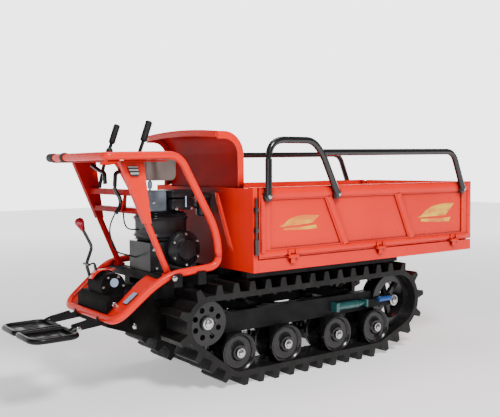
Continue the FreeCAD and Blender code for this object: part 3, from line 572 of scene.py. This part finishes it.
def patch(name, under, over, lift, columns=24):
    """A sticker or thin plate between two edges, each given by three points and drawn as
    p(v) = (1-v)^2 a + 2v(1-v) b + v^2 c, moved off its surface by lift."""
    under, over = np.array(under, float), np.array(over, float)

    def surface(u, v):
        share = [(1 - v) ** 2, 2 * v * (1 - v), v ** 2]
        return [(1 - u) * sum(s * under[k, i] for k, s in enumerate(share))
                + u * sum(s * over[k, i] for k, s in enumerate(share)) + lift[i] for i in range(3)]

    return grid_mesh(name, surface, 4, columns)


sticker = Finish("swoosh_sticker", (0.85, 0.42, 0.01), 0.35, coat=0.2)
sticker.coloured(sticker.ramp(sticker.noise(9.0, 2.0, (1.0, 1.0, 3.0)),
                              [(0.4, (0.80, 0.16, 0.005)), (0.6, (0.86, 0.52, 0.01))]))
swooshes = (((-0.150, 0.716), (-0.06, 0.716), (0.045, 0.726), (-0.120, 0.729), (-0.07, 0.778),
             (0.088, 0.758)),
            ((-0.130, 0.700), (-0.03, 0.694), (0.080, 0.698), (-0.125, 0.711), (-0.03, 0.706),
             (0.066, 0.716)),
            ((0.765, 0.713), (0.860, 0.716), (0.990, 0.716), (0.800, 0.724), (0.870, 0.792), (1.064, 0.779)),
            ((0.790, 0.694), (0.880, 0.684), (1.020, 0.682), (0.800, 0.707), (0.890, 0.700), (1.035, 0.706)))
for side, hand in ((-1, "right"), (1, "left")):
    for number, corners in enumerate(swooshes):
        name = "swoosh_%s_%d" % (hand, number)
        edges = [[(x, side * 0.4190, z) for x, z in corners[k:k + 3]] for k in (0, 3)]
        fixed(name, patch(name, *edges, (0.0, side * 0.0005, 0.0)), sticker, "side_board_" + hand)

# Tube rails on the boards: bent steel tube in black gloss paint.


def rounded_course(points, bend, closed=False, steps=7):
    """The corners of a course of straight runs replaced by short curves
    p(t) = (1-t)^2 a + 2t(1-t) corner + t^2 b, each begun bend metres before its corner;
    bend may be one distance or a list with one for each corner."""
    points = [np.array(point, float) for point in points]
    count = len(points)
    bends = bend if isinstance(bend, list) else [bend] * count
    course = []
    for i, corner in enumerate(points):
        if not closed and i in (0, count - 1):
            course.append(corner)
            continue
        before, after = points[i - 1] - corner, points[(i + 1) % count] - corner
        near = min(bends[i], 0.48 * np.linalg.norm(before), 0.48 * np.linalg.norm(after))
        a = corner + before / np.linalg.norm(before) * near
        b = corner + after / np.linalg.norm(after) * near
        course += [(1 - t) ** 2 * a + 2 * t * (1 - t) * corner + t ** 2 * b for t in np.linspace(0, 1, steps)]
    return np.array(course)


rail_gloss = Finish("rail_gloss", (0.006, 0.006, 0.007), 0.22, coat=0.5, specular=0.4)
rail_gloss.roughened(rail_gloss.ramp(rail_gloss.noise(25.0), [(0.3, 0.16), (0.7, 0.32)]))
for hand in ("right", "left"):
    dressed("latch_" + hand, rail_gloss)
    dressed("lever_" + hand, rail_gloss)
RAIL_Y, RAIL_FOOT_Z = 0.4436, 0.862
# along the bed, height above the foot bolts, and where each bend starts
HOOP = [(-0.228, -0.012, 0.0), (-0.2265, 0.243, 0.085), (0.030, 0.243, 0.070), (0.090, 0.180, 0.040),
        (0.184, -0.012, 0.0)]
LONG_RAIL = [(0.088, 0.188, 0.0), (1.022, 0.196, 0.055), (1.108, -0.012, 0.0)]
for side, hand in ((-1, "right"), (1, "left")):
    for number, table in enumerate((HOOP, LONG_RAIL)):
        name = "rail_%s_%d" % (hand, number)
        course = rounded_course([(x, side * RAIL_Y, RAIL_FOOT_Z + z) for x, z, _ in table],
                                [row[2] for row in table])
        stood = ["side_rail_" + hand] if number == 0 else []
        fixed(name, tube(name, course, 0.0158, 18), rail_gloss, "side_rail_" + hand, stood)
    for number, x in enumerate((-0.228, 0.184, 1.108)):
        name = "rail_foot_%s_%d" % (hand, number)
        foot = [(0.0, 0.0345), (0.007, 0.034), (0.011, 0.031), (0.0115, 0.021), (0.022, 0.020),
                (0.024, 0.016), (0.024, 0.0)]
        spot = (x, side * 0.4248, 0.856)
        fixed(name, turned(name, foot, spot, (0.0, float(side), 0.0), 24), rail_gloss, "side_rail_" + hand)
        fixed(name + "_nut", turned(name + "_nut", [(0.0, 0.0348), (0.007, 0.0343), (0.0112, 0.031)], spot,
                                    (0.0, float(side), 0.0), 12), bright_steel, "side_rail_" + hand)

# The operator's end: red tube guards, pressed legs and a sheet console.
dressed("console_leg_right", red_enamel)
# The far leg and the bars between the legs are painted in the darker red as shade, since they lie in shade under
# the console.
dressed("console_leg_left", shaded_red)
dressed("leg_bars", shaded_red)
# x, y, z and the length of each bend's start, along the right side from the console's front corner
GUARD_SIDE = [(-0.934, -0.305, 1.035, 0.018), (-0.598, -0.305, 1.040, 0.055), (-0.413, -0.305, 0.706, 0.080),
              (-0.398, -0.305, 0.552, 0.060), (-0.640, -0.293, 0.532, 0.060), (-0.722, -0.278, 0.484, 0.060),
              (-0.882, -0.265, 0.354, 0.070)]
guard_loop = GUARD_SIDE + [(x, -y, z, bend) for x, y, z, bend in GUARD_SIDE[::-1]]
guard_course = rounded_course([row[:3] for row in guard_loop], [row[3] for row in guard_loop], closed=True,
                              steps=10)
fixed("guard_loop", tube("guard_loop", guard_course, 0.017, 20, closed=True), red_enamel, "guard_tube_right",
      ("guard_tube_right", "guard_tube_left", "console_bars"))
fixed("tank_bar", tube("tank_bar", [(-0.6135, y, 1.0385) for y in np.linspace(-0.293, 0.293, 6)], 0.0135),
      red_enamel,
      "guard_tube_right")
TRAY_X, TRAY_Z = (-0.882, -0.722, -0.640), (0.354, 0.484, 0.532)
tray_inner = rounded_course([(-0.680, -0.152, 0), (-0.722, -0.152, 0), (-0.835, -0.152, 0),
                             (-0.835, 0.152, 0),
                             (-0.722, 0.152, 0), (-0.680, 0.152, 0)], 0.035)
tray_outer = rounded_course([(-0.680, -0.285, 0), (-0.722, -0.276, 0), (-0.878, -0.263, 0),
                             (-0.878, 0.263, 0),
                             (-0.722, 0.276, 0), (-0.680, 0.285, 0)], 0.060)


def tray_sheet(u, v):
    """Point = inner(u) + v * (outer(u) - inner(u)), laid on the tubes' height z(x) and rolled up
    by 6 mm * (1 - v) ** 4 round the opening."""
    row = np.rint(u * (len(tray_inner) - 1)).astype(int)
    x = tray_inner[row, 0] + v * (tray_outer[row, 0] - tray_inner[row, 0])
    y = tray_inner[row, 1] + v * (tray_outer[row, 1] - tray_inner[row, 1])
    return x, y, np.interp(x, TRAY_X, TRAY_Z) + 0.004 + 0.006 * (1 - v) ** 4


tray = fixed("tray", grid_mesh("tray", tray_sheet, len(tray_inner), 14), red_enamel, "fender",
             ("fender",))
sheet_metal = tray.modifiers.new("sheet", "SOLIDIFY")
sheet_metal.thickness = 0.004
# The console panel's darker red is painted shade.
dressed("console_panel", shaded_red)
sleeve_rubber = Finish("sleeve_rubber", (0.010, 0.010, 0.010), 0.55, specular=0.3)
sleeve_rubber.roughened(sleeve_rubber.ramp(sleeve_rubber.noise(60.0), [(0.3, 0.45), (0.7, 0.65)]))
fixed("bar_sleeve", turned("bar_sleeve", [(0.0171, 0.0), (0.020, 0.002), (0.020, 0.060), (0.0171, 0.062)],
                           (-0.934, 0.226, 1.035), (0.0, 1.0, 0.0), 28), sleeve_rubber, "guard_tube_right")
for name, profile, spot, way, finish, beside in (
        ("bar_clamp", [(0.0172, 0.0), (0.0215, 0.002), (0.0215, 0.020), (0.0172, 0.022)],
         (-0.934, 0.105, 1.035),
         (0.0, 1.0, 0.0), sleeve_rubber, "guard_tube_right"),
        ("stop_button", [(0.0, 0.024), (0.010, 0.022), (0.014, 0.014), (0.014, 0.006), (0.019, 0.004),
                         (0.019, -0.006)],
         (-0.905, -0.276, 1.045), (0.0, 0.0, 1.0), sleeve_rubber, "guard_tube_right"),
        ("filler_cap", [(0.0, 0.030), (0.018, 0.029), (0.024, 0.024), (0.026, 0.004), (0.020, 0.0),
                        (0.020, -0.008)],
         (-0.560, -0.020, 1.024), (0.0, 0.0, 1.0), sleeve_rubber, "fuel_tank")):
    fixed(name, turned(name, profile, spot, way, 28), finish, beside)
stripes = Finish("stripe_sticker", (0.6, 0.6, 0.6), 0.4)
bands = stripes.nodes.new("ShaderNodeTexWave")
bands.bands_direction = "Z"
bands.inputs["Scale"].default_value = 22.0
stripes.links.new(stripes.place, bands.inputs["Vector"])
stripes.coloured(stripes.ramp(bands.outputs["Fac"], [(0.45, 0.01), (0.55, 0.45)]))
fixed("leg_sticker", patch("leg_sticker",
                           [(-0.797, -0.2555, 0.953), (-0.780, -0.2555, 0.953), (-0.762, -0.2555, 0.953)],
                           [(-0.815, -0.2555, 0.992), (-0.792, -0.2555, 0.992), (-0.768, -0.2555, 0.992)],
                           (0.0, -0.0005, 0.0)), stripes, "console_leg_right")
plate_blue = Finish("blank_plate", (0.30, 0.42, 0.62), 0.3, coat=0.3)
plate_blue.coloured(plate_blue.ramp(plate_blue.noise(40.0),
                                    [(0.3, (0.26, 0.38, 0.58)), (0.7, (0.40, 0.50, 0.66))]))
fixed("tray_plate", patch("tray_plate", [(-0.812, -0.226, 0.4109), (-0.787, -0.228, 0.4312),
                                         (-0.762, -0.231, 0.4515)],
                          [(-0.812, -0.188, 0.4109), (-0.787, -0.191, 0.4312), (-0.762, -0.194, 0.4515)],
                          (-0.004, 0.0, 0.0065)), plate_blue, "fender")

# The drum on the gear case: a red guard strip over it, a blank round label and cap screws.
arc = [(-0.800 + 0.0635 * math.cos(t), 0.035, 0.470 + 0.0635 * math.sin(t)) for t in np.linspace(0.35, 2.7,
        22)]
fixed("case_guard", tube("case_guard", arc, 0.028, 12, flat=0.12), red_enamel, "gear_case")
fixed("drum_label", turned("drum_label", [(0.0, 0.0012), (0.019, 0.001), (0.020, 0.0)],
                           (-0.795, -0.0702, 0.486)),
      plate_blue, "gear_case")
for number, turn in enumerate(np.arange(0, 2 * math.pi, math.pi / 3)):
    name = "drum_screw_%d" % number
    spot = (-0.800 + 0.047 * math.cos(turn), -0.070, 0.470 + 0.047 * math.sin(turn))
    fixed(name, turned(name, [(0.0, 0.006), (0.004, 0.0055), (0.006, 0.003), (0.0065, 0.0)], spot, rounds=12),
          bright_steel, "gear_case")

# The engine: dark castings and moulded covers, open to view, with a grey sheet-metal silencer
# box, the air cleaner beside it and its round pre-cleaner nearer the hood.


def pillow(name, low, high, power=0.22, rows=25, columns=48, fins=0):
    """A moulded box with rounded edges: a superellipsoid, half-size * sign(c) * |c| ** power for
    the cosines c of latitude and longitude, between two opposite corners. Fins run round it as
    a factor 0.965 + 0.035 * cos(2 pi fins u) on its width."""
    low, high = np.array(low, float), np.array(high, float)
    middle, half = (low + high) / 2, (high - low) / 2

    def surface(u, v):
        rise, turn = math.pi * (u - 0.5), 2 * math.pi * v
        soft = lambda c: np.sign(c) * np.abs(c) ** power
        wide = soft(np.cos(rise)) * (0.965 + 0.035 * np.cos(2 * math.pi * fins * u))
        return (middle[0] + half[0] * wide * soft(np.cos(turn)),
                middle[1] + half[1] * wide * soft(np.sin(turn)),
                middle[2] + half[2] * soft(np.sin(rise)))

    return grid_mesh(name, surface, rows, columns, closed_columns=True)


engine_dark = Finish("engine_dark", (0.008, 0.008, 0.009), 0.34, coat=0.12, specular=0.25)
engine_dark.coloured(engine_dark.ramp(engine_dark.noise(14.0, 5.0),
                                      [(0.3, (0.003, 0.0035, 0.0045)), (0.75, (0.014, 0.015, 0.017))]))
engine_dark.bumped(engine_dark.noise(340.0, 4.0), 0.25, 0.0005)
silencer_grey = Finish("silencer_grey", (0.06, 0.075, 0.085), 0.4)
silencer_grey.coloured(silencer_grey.ramp(silencer_grey.noise(22.0, 5.0),
                                          [(0.3, (0.06, 0.085, 0.11)), (0.7, (0.15, 0.19, 0.23))]))
for node in ("engine_crankcase", "engine_cylinder", "fan_housing"):
    dressed(node, engine_dark)
cast = [("engine_shroud", (-0.626, -0.104, 0.646), (-0.420, 0.100, 0.788), engine_dark, 0.3, ()),
        ("silencer", (-0.622, -0.078, 0.786), (-0.528, 0.060, 0.884), silencer_grey, 0.18, ()),
        ("air_cleaner_base", (-0.522, -0.108, 0.792), (-0.398, 0.045, 0.845), engine_dark, 0.2,
         ("air_filter",)),
        ("air_cleaner_lid", (-0.526, -0.112, 0.847), (-0.394, 0.049, 0.884), engine_dark, 0.24, ())]
for name, low, high, finish, power, stood in cast:
    fins = 9 if name == "engine_shroud" else 0
    fixed(name, pillow(name, low, high, power, 90 if fins else 25, 48, fins), finish, "engine_cylinder",
          stood)
for number in range(6):
    turn = math.pi * (number / 3 + 1 / 6)
    for name, reach, spot_y in (("fan_screw_%d", 0.070, -0.142), ("fan_vent_%d", 0.044, -0.1545)):
        spot = (-0.470 + reach * math.cos(turn), spot_y, 0.615 + reach * math.sin(turn))
        fixed(name % number, turned(name % number,
                                    [(0.0, 0.004), (0.005, 0.0035), (0.0065, 0.0), (0.0065, -0.006)], spot,
                                    rounds=14), bright_steel if spot_y > -0.15 else engine_dark,
              "fan_housing")
for number, (x, y, z) in enumerate(((-0.60, -0.098, 0.535), (-0.56, -0.098, 0.535), (-0.615, -0.098, 0.62),
                                    (-0.50, -0.111, 0.80), (-0.42, -0.111, 0.80), (-0.60, -0.080, 0.83))):
    name = "engine_bolt_%d" % number
    fixed(name, turned(name, [(0.0, 0.007), (0.006, 0.0065), (0.0085, 0.004), (0.009, -0.006)], (x, y, z),
                       rounds=6),
          bright_steel, "engine_crankcase")
fixed("fuel_filter", turned("fuel_filter",
                            [(0.0, 0.0), (0.005, 0.0), (0.011, 0.006), (0.011, 0.032), (0.005, 0.038),
                             (0.0, 0.038)],
                            (-0.600, -0.048, 0.928), (0.0, 0.0, -1.0), 20), plate_blue, "fuel_tank")
fuel_course = rounded_course([(-0.600, -0.048, 0.892), (-0.601, -0.046, 0.860), (-0.606, -0.040, 0.820),
                              (-0.600, -0.02, 0.770)],
                             0.02, steps=8)
fuel_hose = fixed("fuel_hose", tube("fuel_hose", fuel_course, 0.004, 10), sleeve_rubber, "fuel_tank")
can = [(0.0, 0.0), (0.028, 0.0), (0.034, 0.006), (0.034, 0.078), (0.039, 0.082), (0.039, 0.096),
       (0.030, 0.106), (0.0, 0.110)]
fixed("air_canister", turned("air_canister", can, (-0.352, -0.104, 0.762), (0.0, 0.0, 1.0), 32), engine_dark,
      "engine_cylinder", ("muffler",))
fixed("canister_hose", tube("canister_hose", rounded_course(
    [(-0.352, -0.104, 0.80), (-0.385, -0.09, 0.81), (-0.42, -0.06, 0.82)], 0.02), 0.014), sleeve_rubber,
      "engine_cylinder")
fixed("choke_clip", tube("choke_clip", [(-0.452, -0.1145, z) for z in (0.806, 0.82, 0.84, 0.856)], 0.004,
                         8), plate_blue,
      "engine_cylinder")
tank_paint = Finish("tank_paint", (0.12, 0.09, 0.08), 0.4, coat=0.3)
tank_paint.coloured(tank_paint.ramp(tank_paint.noise(8.0, 4.0),
                                    [(0.3, (0.08, 0.062, 0.055)), (0.7, (0.17, 0.135, 0.12))]))
dressed("fuel_tank", tank_paint)

# Hand levers with ribbed rubber grips, and the gear lever: bent bar with a drop-shaped red knob.
grip_rubber = Finish("grip_rubber", (0.008, 0.008, 0.008), 0.6, specular=0.3)
grip_rubber.roughened(grip_rubber.ramp(grip_rubber.noise(80.0), [(0.3, 0.5), (0.7, 0.72)]))
for node in ("grip_right", "grip_left"):
    dressed(node, grip_rubber, edge=0.0)
GEAR_Y = 0.095
lever_course = [(-0.826, GEAR_Y, 0.440), (-0.830, GEAR_Y, 0.480), (-0.852, GEAR_Y, 0.556),
                (-0.822, GEAR_Y, 0.632),
                (-0.852, GEAR_Y, 0.690), (-0.866, GEAR_Y, 0.715)]
fixed("gear_lever_bar", tube("gear_lever_bar", rounded_course(lever_course, 0.02), 0.0075), rail_gloss,
      "gear_lever",
      ("gear_lever",))
fixed("gear_lever_pin", tube("gear_lever_pin", [(-0.850, GEAR_Y + y, 0.556) for y in (-0.03, 0.0, 0.03)],
                             0.006, 10),
      rail_gloss, "gear_lever")
fixed("gear_gate", tube("gear_gate", rounded_course([(-0.850, GEAR_Y - 0.028, 0.556),
                                                     (-0.826, GEAR_Y - 0.03, 0.565),
                                                     (-0.806, GEAR_Y - 0.03, 0.45)], 0.02), 0.010, flat=0.4),
      rail_gloss, "gear_lever")
knob_red = Finish("knob_red", (0.42, 0.002, 0.02), 0.12, coat=0.8)
knob_red.roughened(knob_red.ramp(knob_red.noise(70.0), [(0.3, 0.09), (0.7, 0.2)]))
drop = [(0.007, -0.004), (0.011, 0.0), (0.015, 0.016), (0.0205, 0.032), (0.0215, 0.042), (0.017, 0.052),
        (0.009, 0.057), (0.0, 0.058)]
fixed("gear_knob_drop", turned("gear_knob_drop", drop, (-0.864, GEAR_Y, 0.712), (-0.42, 0.0, 0.91), 28),
      knob_red,
      "gear_knob", ("gear_knob",))

# Brake levers under the console: thick bent black bars, with cables that run down to the engine.
for number, course in enumerate((
        [(-0.875, -0.04, 1.0), (-0.868, -0.07, 0.985), (-0.862, -0.10, 0.972), (-0.860, -0.13, 0.968),
         (-0.860, -0.135, 0.92)],
        [(-0.763, -0.08, 0.985), (-0.770, -0.10, 0.972), (-0.795, -0.10, 0.965), (-0.800, -0.10, 0.89),
         (-0.775, -0.10, 0.86),
         (-0.772, -0.10, 0.825), (-0.797, -0.10, 0.79)])):
    name = "brake_lever_%d" % number
    fixed(name, tube(name, rounded_course(course, 0.022), 0.009), rail_gloss, "leg_bars")
for number, (a, b, c, d) in enumerate((
        ((-0.742, -0.060, 0.800), (-0.722, -0.030, 0.740), (-0.690, 0.000, 0.710), (-0.628, 0.010, 0.705)),
        ((-0.744, 0.000, 0.800), (-0.775, 0.020, 0.720), (-0.745, 0.030, 0.610), (-0.628, 0.040, 0.575)),
        ((-0.745, -0.130, 0.882), (-0.722, -0.140, 0.850), (-0.690, -0.120, 0.800),
         (-0.630, -0.060, 0.775)))):
    name = "control_cable_%d" % number
    course = rounded_course([a, b, c, d], 0.04, steps=10)
    cable = fixed(name, tube(name, course, 0.0035, 8), sleeve_rubber, "guard_tube_right")

# Small folded plates in red: the lever's stay under the console's corner, and the cables' stay
# on the low bars.
for name, under, over, beside in (
        ("lever_stay", [(-0.945, -0.262, 1.004), (-0.915, -0.266, 0.996), (-0.880, -0.270, 1.006)],
         [(-0.935, -0.292, 1.024), (-0.915, -0.292, 1.024), (-0.870, -0.292, 1.024)], "guard_tube_right"),
        ("cable_stay", [(-0.775, -0.104, 0.800), (-0.755, -0.092, 0.795), (-0.738, -0.075, 0.800)],
         [(-0.765, -0.120, 0.885), (-0.750, -0.108, 0.890), (-0.738, -0.090, 0.885)], "leg_bars")):
    stay = fixed(name, patch(name, under, over, (0.0, 0.0, 0.0), 12), red_enamel, beside)
    thick = stay.modifiers.new("sheet", "SOLIDIFY")
    thick.thickness = 0.003

# The fold-up step: two treads in one frame of bent black tube, with a narrow gap between them.
step_gloss = Finish("step_gloss", (0.004, 0.004, 0.004), 0.35, coat=0.05, specular=0.2)
step_gloss.roughened(step_gloss.ramp(step_gloss.noise(30.0), [(0.3, 0.28), (0.7, 0.45)]))
STEP_BACK, STEP_FRONT, STEP_Z = -1.024, -1.2185, 0.311
for side, hand, near, far in ((-1, "right", -0.0465, -0.2235), (1, "left", -0.0135, 0.1605)):
    corners = [(STEP_FRONT, near, STEP_Z), (STEP_FRONT, far, STEP_Z), (STEP_BACK, far, STEP_Z),
               (STEP_BACK, near, STEP_Z)]
    rim = rounded_course(corners, [0.014, 0.052, 0.052, 0.014], closed=True, steps=9)
    stood = ["foot_step"] if side < 0 else []
    fixed("step_rim_" + hand, tube("step_rim_" + hand, rim, 0.0115, closed=True), step_gloss, "foot_step",
          stood)
    centre = rim.mean(axis=0)

    def tread(u, v, rim=rim, centre=centre):
        """Point = centre + share * (rim(v) - centre), sunk 8 mm and ribbed by 1.5 mm * cos."""
        row = np.rint(v * len(rim)).astype(int) % len(rim)
        share = 0.97 * u
        x = centre[0] + share * (rim[row, 0] - centre[0])
        y = centre[1] + share * (rim[row, 1] - centre[1])
        return x, y, STEP_Z - 0.004 + 0.0015 * np.cos(220 * y) + 0 * u

    sheet = fixed("step_tread_" + hand, grid_mesh("step_tread_" + hand, tread, 40, len(rim),
                                                  closed_columns=True),
                  step_gloss, "foot_step")
    thick = sheet.modifiers.new("sheet", "SOLIDIFY")
    thick.thickness = 0.004
    fixed("step_ear_" + hand, tube("step_ear_" + hand,
                                   [(-1.030, side * 0.134, 0.311), (-1.02, side * 0.134, 0.316),
                                                        (-1.0, side * 0.134, 0.322),
                                    (-0.99, side * 0.134, 0.323)],
                                   0.017, flat=0.9), step_gloss, "foot_step")

# Zinc-plated bolts that show on the lip, the step's hinge and the tray.
for number, (spot, beside) in enumerate((((-1.0, -0.150, 0.322), "step_bracket"),
                                         ((-1.0, 0.150, 0.322), "step_bracket"),
                                         ((-0.742, -0.1485, 0.300), "gear_case"),
                                         ((-0.836, -0.1485, 0.405), "gear_case"),
                                         ((-0.640, -0.3225, 0.520), "guard_tube_right"))):
    name = "bolt_%d" % number
    fixed(name, turned(name, [(0.0, 0.009), (0.008, 0.0085), (0.0125, 0.006), (0.013, 0.0)], spot, rounds=6),
          bright_steel, beside)
